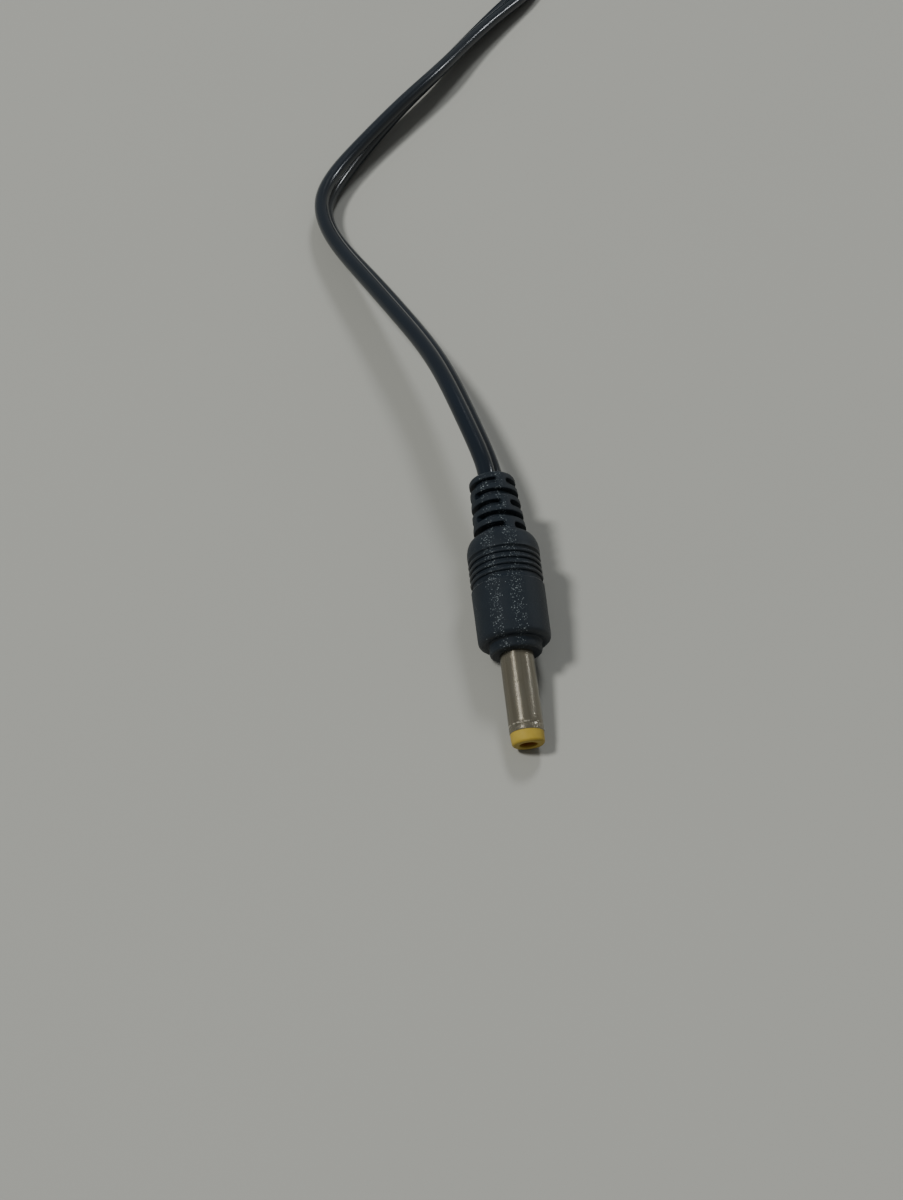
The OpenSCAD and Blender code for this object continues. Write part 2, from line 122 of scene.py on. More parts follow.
def addPiece(name, points, alongM, roundM, wrapRows=False, sharpDegrees=40):
    # a grid of points [row, column, xyz] in mm: each row closes into a ring,
    # and the two end rows close onto a point in their middle, or onto each other;
    # its UV map holds real metres, alongM along the piece and roundM round it
    rows, columns = points.shape[:2]
    verts = points.reshape(-1, 3)
    quads, fans = gridFaces(rows, columns, wrapRows)
    if not wrapRows:
        verts = np.vstack([verts, points[0].mean(0), points[-1].mean(0)])
    faces = quads.tolist() + fans
    if volumeSign(verts, quads) < 0:
        faces = [face[::-1] for face in faces]
    mesh = bpy.data.meshes.new(name)
    mesh.from_pydata((verts * mm).tolist(), [], faces)
    table = np.zeros((len(verts), 2))
    table[:rows * columns, 0] = np.repeat(alongM, columns)
    table[:rows * columns, 1] = np.tile(roundM, rows)
    if not wrapRows:
        table[-2:, 0] = alongM[0], alongM[-1]
    corners = np.zeros(len(mesh.loops), int)
    mesh.loops.foreach_get("vertex_index", corners)
    mesh.uv_layers.new(name="metres").data.foreach_set("uv", table[corners].ravel())
    mesh.polygons.foreach_set("use_smooth", np.ones(len(mesh.polygons), bool))
    mesh.set_sharp_from_angle(angle=math.radians(sharpDegrees))
    mesh.update()
    piece = bpy.data.objects.new(name, mesh)
    bpy.context.scene.collection.objects.link(piece)
    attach(piece, "root")
    return piece


def curveThrough(knots, spacing, fineSteps=4000):
    # natural cubic curve through the knots, cut into even steps; extra columns ride along
    knots = np.asarray(knots, float)
    at = np.concatenate([[0], np.cumsum(np.linalg.norm(np.diff(knots[:, :3], axis=0), axis=1))])
    n = len(at)
    h = np.diff(at)
    matrix = np.eye(n)
    right = np.zeros_like(knots)
    i = np.arange(1, n - 1)
    matrix[i, i - 1] = h[:-1]
    matrix[i, i] = 2 * (h[:-1] + h[1:])
    matrix[i, i + 1] = h[1:]
    slope = np.diff(knots, axis=0) / h[:, None]
    right[1:-1] = 6 * np.diff(slope, axis=0)
    bend = np.linalg.solve(matrix, right)

    def atLength(s):
        # between two knots: the cubic of their bends, and the straight mix of their places
        k = np.clip(np.searchsorted(at, s) - 1, 0, n - 2)
        w = h[k][:, None]
        toNext = (at[k + 1] - s)[:, None]
        fromLast = (s - at[k])[:, None]
        curved = (bend[k] * toNext ** 3 + bend[k + 1] * fromLast ** 3) / (6 * w)
        lastPart = (knots[k] / w - bend[k] * w / 6) * toNext
        nextPart = (knots[k + 1] / w - bend[k + 1] * w / 6) * fromLast
        return curved + lastPart + nextPart

    fineAt = np.linspace(0, at[-1], fineSteps)
    fine = atLength(fineAt)
    real = np.concatenate([[0], np.cumsum(np.linalg.norm(np.diff(fine[:, :3], axis=0), axis=1))])
    return atLength(np.interp(np.linspace(0, real[-1], int(real[-1] / spacing) + 2), real, fineAt))


def sweepRings(line, turn, ring):
    # carries a flat ring [column, wide thin] along a line; turn leans its wide way from upright
    ahead = unit(np.gradient(line, axis=0))
    up = unit(np.array([0, 0, 1.0]) - ahead[:, 2:3] * ahead)
    side = np.cross(ahead, up)
    turn = np.radians(turn)[:, None]
    wide = up * np.cos(turn) + side * np.sin(turn)
    thin = np.cross(ahead, wide)
    ring = np.broadcast_to(ring, (len(line),) + ring.shape[-2:])
    return line[:, None] + ring[..., 0:1] * wide[:, None] + ring[..., 1:2] * thin[:, None]


# the plug's own sizes in mm; stations run along it from the mouth to the cord
plug = {
    "beadLength": 1.4, "beadFrontR": 1.9, "beadRound": 0.35,
    "barrelR": 2.0, "barrelLength": 9.6,
    "bossLength": 1.25, "bossR": 3.1,
    "frontR": 4.3, "frontRound": 0.65, "gripR": 4.4, "plainLength": 7.05,
    "reliefR": 3.3, "reliefEndR": 2.85, "reliefRound": 0.45,
    "bend": 0.26,  # how far the relief's end leans across after the cord
}
mould = {
    "frontGroove": 0.75, "rearGroove": 0.4, "grooveDeep": 0.28,
    "ridges": 4, "ridgePitch": 0.8, "ridgeHalf": 0.21,
    "shoulderFlat": 0.6, "shoulderLength": 2.1,
    "neck": 0.25, "slots": 5, "slotPitch": 1.58, "slotHalf": 0.38, "collar": 0.95,
    "slotCorner": 0.3, "slotFloorR": 2.3, "webHalf": 0.62,
    "edge": 0.05, "soften": 0.16, "softenDeep": 0.09,  # how steep a slot's wall is, and its rounded rim
    "bossRound": 0.3, "grooveRound": 0.15,
    "wearR": 0.1,  # an edge as round as this is rubbed fully smooth
    "columns": 300, "roll": 19.0,
    # distances of the profile's points from a slot's middle, close together at its edges
    "slotSteps": (0, 0.08, 0.18, 0.27, 0.33, 0.36, 0.38, 0.4, 0.42, 0.45, 0.5, 0.6),
}
bossS = plug["beadLength"] + plug["barrelLength"]
bodyS = bossS + plug["bossLength"]
gripS = bodyS + plug["plainLength"]
ridgeS = gripS + mould["frontGroove"] + mould["ridgeHalf"]
shoulderS = ridgeS + (mould["ridges"] - 1) * mould["ridgePitch"] + mould["ridgeHalf"] + mould["rearGroove"]
reliefS = shoulderS + mould["shoulderFlat"] + mould["shoulderLength"]
slotS = reliefS + mould["neck"] + mould["slotHalf"]
endS = slotS + (mould["slots"] - 1) * mould["slotPitch"] + mould["slotHalf"] + mould["collar"]

# it rests on its bead's edge and its body's front edge: lean is the slope of the line under both
restTip = np.array([plug["beadRound"], plug["beadFrontR"] - plug["beadRound"]])
restBody = np.array([bodyS + plug["frontRound"], plug["frontR"] - plug["frontRound"]])
span = restBody - restTip
lean = math.atan2(span[1], span[0]) + math.asin((plug["frontRound"] - plug["beadRound"]) / math.hypot(*span))
tipZ = restTip[1] * math.cos(lean) + plug["beadRound"] - restTip[0] * math.sin(lean)
lowY = restTip[0] * math.cos(lean) - restTip[1] * math.sin(lean) - plug["beadRound"]
reliefEdge = (endS - plug["reliefRound"], plug["reliefEndR"] - plug["reliefRound"])
highY = reliefEdge[0] * math.cos(lean) + reliefEdge[1] * math.sin(lean) + plug["reliefRound"]
tipPoint = np.array([0, -(lowY + highY) / 2, tipZ])
plugAhead = np.array([0, math.cos(lean), math.sin(lean)])  # from the mouth to the cord
plugDown = np.array([0, math.sin(lean), -math.cos(lean)])
plugAcross = np.array([1.0, 0, 0])


def layPlug(across, down, along):
    # the plug's own mm, across, down and along from the mouth, to the table's;
    # past the shoulder the soft relief leans after the cord by bend t^2, t running from 0 to 1 at its end
    t = np.clip((along - shoulderS) / (endS - shoulderS), 0, 1)
    across = across - plug["bend"] * t ** 2
    level = tipPoint + across[..., None] * plugAcross
    return level + down[..., None] * plugDown + along[..., None] * plugAhead


cordSizes = {
    "coreR": 1.1, "coreAt": 1.05, "web": 0.42, "columns": 48, "spacing": 0.8, "turn": -33, "easing": 100,
    "webReach": 0.4,  # least sine that the web's outline is worked out with
    "blend": 10,  # power of the mix of the cores' and the web's outlines: the higher, the sharper their join
    "inPlug": (8, 4, 0), "cutBack": 7.6,  # mm before the relief's end
    "easeIn": (0, 12), "easeOut": (32, 55), "easeLost": 0.85,  # mm along the cord, and a share
    "coilAt": (8, 185), "coilOuter": 27.8, "coilInner": 22.4, "low": 2.15, "high": 6.45,
    "coilStarts": -28, "coilEnds": 1750, "coilKnots": 72,  # degrees round the coil
    "innermost": (0.47, 0.53), "climb": (0.45, 0.55),  # shares of those degrees
    "overTie": 0.5, "overTieAt": 180, "overTieWide": 16,  # mm up, and degrees round the coil
}
leadRoute = [
    [-0.3, 19, 8.75, -34], [-0.9, 21.6, 9.1, -36], [-1.7, 24.4, 9.3, -37], [-2.6, 28.4, 9.3, -37],
    [-3.4, 33, 8.9, -38], [-4.5, 38.2, 8.3, -41], [-6, 43, 7.5, -44], [-8, 48, 6.7, -46],
    [-10.3, 54, 5.7, -47], [-13, 60.8, 4.6, -46], [-15.8, 67.6, 3.5, -41], [-18.1, 74.4, 2.7, -30],
    [-18.9, 81.4, 2.3, -14], [-16.6, 88, 2.2, -8], [-13, 94, 2.3, 4], [-7.4, 102, 2.8, 20],
    [-2.6, 108.4, 3.1, 30], [2.4, 115.2, 3, 37], [7.2, 122.8, 2.4, 42], [13.2, 131.6, 2, 52],
    [17.2, 137, 1.75, 64], [21, 142, 1.6, 76], [23.9, 147.2, 1.4, 98], [26.2, 153.4, 1.6, 116],
    [28.6, 161.8, 2.02, 146]]
tailRoute = [
    [-44, 27.9, 6.8, 184], [-38, 28.1, 7.6, 194], [-30, 28.3, 8.8, 216], [-20, 28.1, 9.9, 244],
    [-10, 27, 10.2, 262], [0, 25.8, 9.85, 269], [14, 25.15, 9.72, 270], [26, 25.1, 9.7, 270],
    [38, 25.1, 9.7, 270], [50, 25.1, 9.7, 270]]
coreRoutes = {
    "plus": [[50, 26.15, 9.7], [58, 26.2, 9.7], [66, 26.4, 9.7], [76, 26.7, 9.7], [86, 27, 9.72],
             [98, 27.2, 9.8], [110, 27.3, 10], [122, 27.3, 10.4]],
    "minus": [[50, 24.05, 9.7], [58, 24, 9.7], [66, 23.8, 9.7], [77, 23.5, 9.7], [89, 23.2, 9.72],
              [102, 23, 9.8], [115, 22.9, 10], [128, 22.9, 10.4]]}


def roundCoil(route):
    # angle, radius, height and any more columns become x, y, height and the rest
    route = np.asarray(route, float)
    a = np.radians(route[:, 0])
    x, y = cordSizes["coilAt"]
    return np.column_stack([x + route[:, 1] * np.cos(a), y + route[:, 1] * np.sin(a), route[:, 2:]])


def twinRing():
    # two round cores side by side with a web between: the farther of the cores' and the web's outlines
    a = circle(cordSizes["columns"])
    cores = cordSizes["coreAt"] * np.abs(np.cos(a)) + np.sqrt(
        cordSizes["coreR"] ** 2 - (cordSizes["coreAt"] * np.sin(a)) ** 2)
    web = cordSizes["web"] / np.maximum(np.abs(np.sin(a)), cordSizes["webReach"])
    blend = cordSizes["blend"]
    return ringOf((cores ** blend + web ** blend) ** (1 / blend), a)


def coilKnots():
    # one layer spirals in, the cord climbs at the inside, and the next layer spirals out on top
    first, last = cordSizes["coilStarts"], cordSizes["coilEnds"]
    a = np.linspace(first, last, cordSizes["coilKnots"])
    part = (a - first) / (last - first)
    inner, outer = cordSizes["coilInner"], cordSizes["coilOuter"]
    r = np.interp(part, [0, *cordSizes["innermost"], 1], [outer, inner, inner, outer])
    z = cordSizes["low"] + (cordSizes["high"] - cordSizes["low"]) * smoothStep(part, *cordSizes["climb"])
    fromTie = (a % 360) - cordSizes["overTieAt"]
    z = z + cordSizes["overTie"] * np.exp(-(fromTie / cordSizes["overTieWide"]) ** 2)
    return np.column_stack([a, r, z, np.full(len(a), 180.0)])


def layCord():
    # the whole line of the cord [x, y, z, turn]; its first knots only set its direction inside the plug
    inPlug = endS - np.array(cordSizes["inPlug"])
    inPlug = layPlug(0 * inPlug, 0 * inPlug, inPlug)
    inPlug = np.column_stack([inPlug, np.full(len(inPlug), cordSizes["turn"])])
    knots = np.vstack([inPlug, leadRoute, roundCoil(coilKnots()), roundCoil(tailRoute)])
    line = curveThrough(knots, cordSizes["spacing"])
    line = line[int(cordSizes["cutBack"] / cordSizes["spacing"]):]
    # a stiff cord evens its bends out: each point moves to the mean of its neighbours, though hardly at
    # the plug, and past the arch much less
    along = np.arange(1, len(line) - 1) * cordSizes["spacing"]
    ease = 0.5 * smoothStep(along, *cordSizes["easeIn"])
    ease = ease * (1 - cordSizes["easeLost"] * smoothStep(along, *cordSizes["easeOut"]))
    for i in range(cordSizes["easing"]):
        line[1:-1] += ease[:, None] * (0.5 * (line[2:] + line[:-2]) - line[1:-1])
    # no ring sinks into the table: half a section's height is coreR + coreAt |cos turn|
    halfHeight = cordSizes["coreR"] + cordSizes["coreAt"] * np.abs(np.cos(np.radians(line[:, 3])))
    line[:, 2] = np.maximum(line[:, 2], halfHeight)
    return line


cordLine = layCord()
cordAlong = metresAlong(cordLine[:, :3])
cord = addPiece("twinCord", sweepRings(cordLine[:, :3], cordLine[:, 3], twinRing()), cordAlong,
                metresAlong(twinRing()))
print("cord made:", round(cordAlong[-1] / mm), "mm")

coreSizes = {
    "columns": 32, "spacing": 0.6, "roundM": 6.9, "cutEdge": 0.93,
    "tear": 0.12, "tearVaries": 0.05, "tearHalf": 0.16,  # mm, mm and radians
    "tearWaves": (3.1, 5.3),  # radians a mm, across the table and away over it
    "pinR": 0.42, "pinFrom": -0.6, "pinLength": 5, "pinSteps": 60, "pinColumns": 42, "pinRoundM": 2.8,
    "pinPoint": 0.4,  # mm over which its end narrows
    "strands": 7, "strandBump": 0.035, "strandTwist": 0.9,  # twist in radians a mm
}


def splitCore(line, inner):
    # a round core, with the torn edge of the web left as a ragged rib along its inner side
    a = circle(coreSizes["columns"])
    fromInner = (a - inner + np.pi) % fullTurn - np.pi
    rib = np.exp(-(fromInner / coreSizes["tearHalf"]) ** 2)
    acrossWaves, awayWaves = coreSizes["tearWaves"]
    waves = np.sin(line[:, 0] * acrossWaves) * np.sin(line[:, 1] * awayWaves + 1)
    ragged = coreSizes["tear"] + coreSizes["tearVaries"] * waves
    r = cordSizes["coreR"] + ragged[:, None] * rib
    r[-1] *= coreSizes["cutEdge"]
    return sweepRings(line, np.full(len(line), 90.0), ringOf(r, a))


def tinnedPin(line):
    # twisted strands, tinned into one pin: a bump for each strand round the pin, turning along it
    ahead = unit(line[-1] - line[-2])
    s = np.linspace(coreSizes["pinFrom"], coreSizes["pinLength"], coreSizes["pinSteps"])
    a = circle(coreSizes["pinColumns"])
    bump = np.abs(np.cos(coreSizes["strands"] / 2 * (a[None, :] + s[:, None] * coreSizes["strandTwist"])))
    r = coreSizes["pinR"] + coreSizes["strandBump"] * bump
    narrows = smoothStep(s, coreSizes["pinLength"] - coreSizes["pinPoint"], coreSizes["pinLength"])
    r = r * np.sqrt(1 - 0.5 * narrows)[:, None]
    return sweepRings(line[-1] + s[:, None] * ahead, np.zeros(len(s)), ringOf(r, a)), s * mm


cores, tinned = {}, {}
coreRound = np.linspace(0, coreSizes["roundM"], coreSizes["columns"]) * mm
pinRound = np.linspace(0, coreSizes["pinRoundM"], coreSizes["pinColumns"]) * mm
for side, inner in (("plus", np.pi), ("minus", 0)):
    line = curveThrough(roundCoil(coreRoutes[side]), coreSizes["spacing"])
    coreAlong = metresAlong(line)
    cores[side] = addPiece(side + "Core", splitCore(line, inner), coreAlong, coreRound)
    pin, pinAlong = tinnedPin(line)
    tinned[side] = addPiece(side + "TinnedEnd", pin, pinAlong, pinRound)
    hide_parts("lead_end_" + side)
    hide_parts("tinned_end_" + side)
print("split cores and tinned ends made")

# the tie: a flat band round the whole section of the coil, with its two ends twisted at the inside
tieSizes = {
    "width": 3.6, "thick": 0.42, "inner": 21.15, "outer": 29.05, "low": 0.26, "high": 9.3,
    "steps": 120, "columns": 28, "alongM": 33, "roundM": 8,
    "corner": 0.28, "edge": 0.5,  # powers that square the band's loop and its section
    "rib": 0.14, "ribHalf": 0.35,
    "twistLength": 8.5, "twistSteps": 90, "twistHalf": 1.35, "twistThick": 0.42, "twistEdge": 0.6,
    "twistZ": 5.2, "twistTurn": 95, "twistRoundM": 7,  # mm up, and degrees a mm
    "twistIn": 0.2, "twistSwing": 1.2, "twistRun": 0.9, "twistRise": 0.25,  # its line's place and slopes
    "pinch": 0.35, "pinchLength": 1.4,  # how much narrower it starts
}


def tieBand():
    # a squared loop walked once round, across the coil's section, and a flat section with a soft wire
    # rib in its middle carried along it
    t = circle(tieSizes["steps"])
    inner, outer, low, high = (tieSizes[key] for key in ("inner", "outer", "low", "high"))
    away = (outer + inner) / 2 + (outer - inner) / 2 * squared(np.cos(t), tieSizes["corner"])
    height = (high + low) / 2 + (high - low) / 2 * squared(np.sin(t), tieSizes["corner"])
    outward = unit(np.column_stack([np.cos(t) ** 3 + 1e-9, np.sin(t) ** 3]))
    b = circle(tieSizes["columns"])
    wide = tieSizes["width"] / 2 * squared(np.cos(b), tieSizes["edge"])
    rib = tieSizes["rib"] * np.exp(-(wide / tieSizes["ribHalf"]) ** 2) * (np.sin(b) > 0)
    thick = tieSizes["thick"] / 2 * np.sin(b) + rib
    x, y = cordSizes["coilAt"]
    points = np.empty((len(t), len(b), 3))
    points[..., 0] = x - away[:, None] - thick * outward[:, 0:1]
    points[..., 1] = y + wide
    points[..., 2] = height[:, None] + thick * outward[:, 1:2]
    return points


def tieTwist():
    # the band's two ends laid together and twisted: a flat ring that turns as it goes
    x, y = cordSizes["coilAt"]
    s = np.linspace(0, tieSizes["twistLength"], tieSizes["twistSteps"])
    line = np.column_stack([
        x - tieSizes["inner"] + tieSizes["twistIn"] + tieSizes["twistSwing"] * np.sin(s / 5),
        y + s * tieSizes["twistRun"],
        tieSizes["twistZ"] + tieSizes["twistRise"] * s])
    b = circle(tieSizes["columns"])
    narrow = 1 - tieSizes["pinch"] * np.exp(-(s / tieSizes["pinchLength"]) ** 2)
    ring = np.stack([tieSizes["twistHalf"] * squared(np.cos(b), tieSizes["twistEdge"]),
                     tieSizes["twistThick"] * np.sin(b)], -1) * narrow[:, None, None]
    return sweepRings(line, s * tieSizes["twistTurn"], ring), s * mm


tieAlong = np.linspace(0, tieSizes["alongM"], tieSizes["steps"]) * mm
tieRound = np.linspace(0, tieSizes["roundM"], tieSizes["columns"]) * mm
tie = addPiece("coilTie", tieBand(), tieAlong, tieRound, wrapRows=True)
twist, twistAlong = tieTwist()
twistRound = np.linspace(0, tieSizes["twistRoundM"], tieSizes["columns"]) * mm
tieEnds = addPiece("tieTwist", twist, twistAlong, twistRound)
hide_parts("coil_tie")
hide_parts("cord_lead", "cord_coil", "cord_tail")
print("tie made")


def roundEdge(r, s, radius, fromDegrees, toDegrees, n=7):
    # an arc of n points about radius r and station s
    a = np.radians(np.linspace(fromDegrees, toDegrees, n))
    return np.column_stack([r + radius * np.cos(a), s + radius * np.sin(a)])


def outlineFrom(r, s, *steps):
    # a few points of an outline, as steps of radius and station from a corner
    return np.array([r, s]) + steps


def mouldFront():
    # the moulding's outer wall from the barrel's hole over the boss, the front and the plain taper
    bossRound, frontRound = mould["bossRound"], plug["frontRound"]
    s = np.linspace(bodyS + frontRound + 0.3, gripS - 0.2, 16)
    return [
        outlineFrom(0, bossS, (1.5, 0), (1.9, 0), (2.4, 0), (2.75, 0)),
        roundEdge(plug["bossR"] - bossRound, bossS + bossRound, bossRound, -90, 0),
        outlineFrom(plug["bossR"], bodyS, (0, -0.25), (0.03, -0.1), (0.12, 0), (0.3, 0)),
        roundEdge(plug["frontR"] - frontRound, bodyS + frontRound, frontRound, -90, 0, 11),
        np.column_stack([np.interp(s, [bodyS, gripS], [plug["frontR"], plug["gripR"]]), s])]


def mouldGrip():
    # down into the sunk band, over its ridges, each a half round squared by cos^0.8, and up to the dome
    gripR, deep, roundR = plug["gripR"], mould["grooveDeep"], mould["grooveRound"]
    floorR = gripR - deep
    rows = [
        roundEdge(gripR - roundR, gripS - 0.13, roundR, 0, 90, 9),
        outlineFrom(floorR, gripS, (0.04, 0.03), (0, 0.09)),
        outlineFrom(floorR, ridgeS, (0, -0.3))]
    a = np.radians(np.linspace(-90, 90, 11))
    for i in range(mould["ridges"]):
        at = ridgeS + i * mould["ridgePitch"]
        rows.append(np.column_stack([floorR + deep * np.cos(a) ** 0.8, at + mould["ridgeHalf"] * np.sin(a)]))
    rows.append(outlineFrom(floorR, shoulderS, (0, -0.1), (0.06, -0.02)))
    rows.append(outlineFrom(gripR, shoulderS, (-0.08, 0.03), (-0.02, 0.08)))
    a = np.radians(np.linspace(0, 86, 16))
    domeR = plug["reliefR"] + (gripR - plug["reliefR"]) * np.cos(a)
    domeS = reliefS - mould["shoulderLength"] + mould["shoulderLength"] * np.sin(a)
    return rows + [np.column_stack([domeR, domeS])]


def mouldRelief():
    # the relief tapers over its slots to a rounded end, which closes onto the cord
    steps = np.array(mould["slotSteps"])
    steps = np.concatenate([-steps[:0:-1], steps])
    s = np.concatenate([slotS + i * mould["slotPitch"] + steps for i in range(mould["slots"])])
    s = np.concatenate([[reliefS + 0.03], s[s > reliefS + 0.03], [endS - 0.62]])
    endR, endRound = plug["reliefEndR"], plug["reliefRound"]
    return [
        np.column_stack([np.interp(s, [reliefS, endS - endRound], [plug["reliefR"], endR]), s]),
        roundEdge(endR - endRound, endS - endRound, endRound, 0, 90, 9),
        outlineFrom(0, endS, (2.0, 0), (1.0, 0))]


def sinkSlots(r, s, a):
    # how far a point of the wall lies inside the nearest slot's window, a rounded rectangle between two webs
    i = np.clip(np.round((s - slotS) / mould["slotPitch"]), 0, mould["slots"] - 1)
    at = slotS + i * mould["slotPitch"]
    webAngle = np.radians(mould["roll"]) + np.where(i % 2 == 0, np.pi / 2, 0)
    beyondWeb = mould["webHalf"] - np.abs(r * np.sin(a - webAngle))
    beyondEdge = np.abs(s - at) - mould["slotHalf"]
    corner = mould["slotCorner"]
    x, y = beyondWeb + corner, beyondEdge + corner
    outside = np.hypot(np.maximum(x, 0), np.maximum(y, 0)) + np.minimum(np.maximum(x, y), 0) - corner
    onRelief = (s > reliefS) & (s < endS - 0.5)
    sunk = smoothStep(-outside, -mould["edge"], mould["edge"]) * onRelief
    rim = mould["softenDeep"] * np.clip(1 - outside / mould["soften"], 0, 1) ** 2 * onRelief
    return r - np.maximum(sunk * (r - mould["slotFloorR"]), np.minimum(rim, mould["softenDeep"]))


def edgeWear(profile):
    # how convex the wall is at each ring, up to 1 at wearR: bend of the outline over length, times wearR
    steps = np.diff(profile, axis=0)
    bearing = np.unwrap(np.arctan2(steps[:, 0], steps[:, 1]))
    lengths = np.linalg.norm(steps, axis=1)
    convex = np.zeros(len(profile))
    convex[1:-1] = -np.diff(bearing) / (0.5 * (lengths[1:] + lengths[:-1]))
    return np.clip(convex * mould["wearR"], 0, 1)


def mouldBody():
    # the outline turned round the plug's length, with the slots sunk into the relief
    profile = np.vstack(mouldFront() + mouldGrip() + mouldRelief())
    a = circle(mould["columns"])
    wallS = profile[:, 1:2] + 0 * a
    wallR = sinkSlots(profile[:, 0:1] + 0 * a, wallS, a + 0 * wallS)
    roundM = np.linspace(0, fullTurn * plug["gripR"], mould["columns"]) * mm
    points = layPlug(wallR * np.cos(a), wallR * np.sin(a), wallS)
    made = addPiece("mouldedBody", points, metresAlong(profile), roundM)
    # the edges that hands rub smooth, as a value at each point, 0 at the two closing ones
    rubbed = np.append(np.repeat(edgeWear(profile), mould["columns"]), [0, 0])
    attribute = made.data.attributes.new("rubbed", "FLOAT", "POINT")
    attribute.data.foreach_set("value", rubbed.astype(np.float32))
    return made


def addTurned(name, profile, columns):
    # a profile [radius, station] turned round the plug's length and closed on itself
    a = circle(columns)
    r, s = profile[:, 0:1], profile[:, 1:2]
    roundM = np.linspace(0, fullTurn * profile[:, 0].max(), columns) * mm
    return addPiece(name, layPlug(r * np.cos(a), r * np.sin(a), s + 0 * a), metresAlong(profile), roundM,
                    wrapRows=True)


body = mouldBody()
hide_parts("overmould")
print("moulded body made:", len(body.data.polygons), "faces")

# the barrel: a drawn tube with a turned line behind its lip, closed on itself through its bore
tube = {
    "boreR": 1.72, "lipRound": 0.08, "lineAt": 0.82, "lineR": 1.935, "lineRearAt": 0.87,
    "behindLine": 1.4, "inBoss": 0.14, "rings": 14, "columns": 128,
}
outerR, barrelFront, barrelEnd = plug["barrelR"], plug["beadLength"], bossS + tube["inBoss"]
barrelProfile = np.vstack([
    outlineFrom(0, barrelFront, (tube["boreR"], 0), (1.85, 0)),
    roundEdge(outerR - tube["lipRound"], barrelFront + tube["lipRound"], tube["lipRound"], -90, 0, 5),
    outlineFrom(outerR, barrelFront, (0, 0.4)),
    outlineFrom(outerR, barrelFront + tube["lineAt"], (0, -0.1), (-0.015, -0.065)),
    outlineFrom(tube["lineR"], barrelFront + tube["lineAt"], (0, -0.02), (0, 0.02)),
    outlineFrom(outerR, barrelFront + tube["lineAt"], (-0.015, 0.065), (0, 0.1)),
    np.column_stack([np.full(tube["rings"], outerR),
                     np.linspace(barrelFront + tube["behindLine"], barrelEnd, tube["rings"])]),
    [[tube["boreR"], barrelEnd]]])
barrel = addTurned("drawnBarrel", barrelProfile, tube["columns"])
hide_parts("barrel_sleeve")
# metres along the wall to the line's rear edge; the first 7 points run across the lip
barrelAlong = metresAlong(barrelProfile)
lineAt = float(np.interp(barrelFront + tube["lineRearAt"], barrelProfile[7:, 1], barrelAlong[7:]))

# the bead: a moulded ring round the mouth, with a stepped throat behind it
mouth = {
    "mouthR": 1.025, "mouthRound": 0.1, "throatR": 1.14, "liningR": 1.68, "liningEnd": 9.0, "columns": 96,
}
mouthRound = mouth["mouthRound"]
beadProfile = np.vstack([
    [[mouth["throatR"], mouth["liningEnd"]], [mouth["throatR"], 0.62], [1.02, 0.6]],
    roundEdge(mouth["mouthR"] + mouthRound, mouthRound, mouthRound, 180, 270, 4),
    roundEdge(plug["beadFrontR"] - plug["beadRound"], plug["beadRound"], plug["beadRound"], -90, 0, 9),
    [[1.925, 0.9]],
    outlineFrom(0, plug["beadLength"], (1.95, -0.02), (1.93, 0), (mouth["liningR"], 0.02)),
    [[mouth["liningR"], mouth["liningEnd"]]]])
bead = addTurned("mouthBead", beadProfile, mouth["columns"])
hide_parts("tip_insulator")
print("barrel and bead made")


def linear(hexColour):
    # an sRGB hex colour as linear red, green, blue and alpha
    parts = [int(hexColour[i:i + 2], 16) / 255 for i in (1, 3, 5)]
    return [p / 12.92 if p <= 0.04045 else ((p + 0.055) / 1.055) ** 2.4 for p in parts] + [1.0]


def addNode(tree, kind, settings=None, inputs=None):
    # a shader node with its settings; an input is a number, a hex colour, a socket to link, or a node
    # whose first socket is linked. Mix takes its factor in 0, numbers in 2 and 3 and colours in 6 and 7
    made = tree.nodes.new("ShaderNode" + kind)
    for name, value in (settings or {}).items():
        setattr(made, name, value)
    for name, value in (inputs or {}).items():
        if isinstance(value, bpy.types.Node):
            value = value.outputs[0]
        if isinstance(value, bpy.types.NodeSocket):
            tree.links.new(value, made.inputs[name])
        else:
            made.inputs[name].default_value = linear(value) if isinstance(value, str) else value
    return made


def startMaterial(name, values):
    # a new material with what is the same all over it set on its shader's own sockets
    material = bpy.data.materials.new(name)
    material.use_nodes = True
    shader = material.node_tree.nodes["Principled BSDF"]
    for socket, value in values.items():
        shader.inputs[socket].default_value = value
    return material, material.node_tree, shader


def finishShader(tree, shader, colour, rough, height, strength, depth):
    # a colour from a Mix node's third socket, a roughness, and bumps of a strength and depth onto the shader
    bump = addNode(tree, "Bump", {}, {"Height": height, "Strength": strength, "Distance": depth})
    tree.links.new(colour.outputs[2], shader.inputs["Base Color"])
    tree.links.new(rough.outputs[0], shader.inputs["Roughness"])
    tree.links.new(bump.outputs["Normal"], shader.inputs["Normal"])


def solidPattern(tree, perMetre, detail, rough=0.5):
    # cloudy noise through the whole piece, with so many clouds in a metre
    place = addNode(tree, "TexCoord").outputs["Object"]
    return addNode(tree, "TexNoise", {}, {
        "Vector": place, "Scale": perMetre, "Detail": detail, "Roughness": rough})


def wallPattern(tree, perMetre, detail):
    # cloudy noise on the piece's own map, with so many clouds in a metre along it and round it
    metres = addNode(tree, "UVMap", {"uv_map": "metres"})
    stretched = addNode(tree, "Mapping", {}, {"Vector": metres, "Scale": (*perMetre, 1)})
    return addNode(tree, "TexNoise", {}, {"Vector": stretched, "Scale": 1.0, "Detail": detail})


def wallMetres(tree, way):
    # metres along the piece (way 0) or round it (way 1)
    metres = addNode(tree, "UVMap", {"uv_map": "metres"})
    return addNode(tree, "SeparateXYZ", {}, {0: metres}).outputs[way]


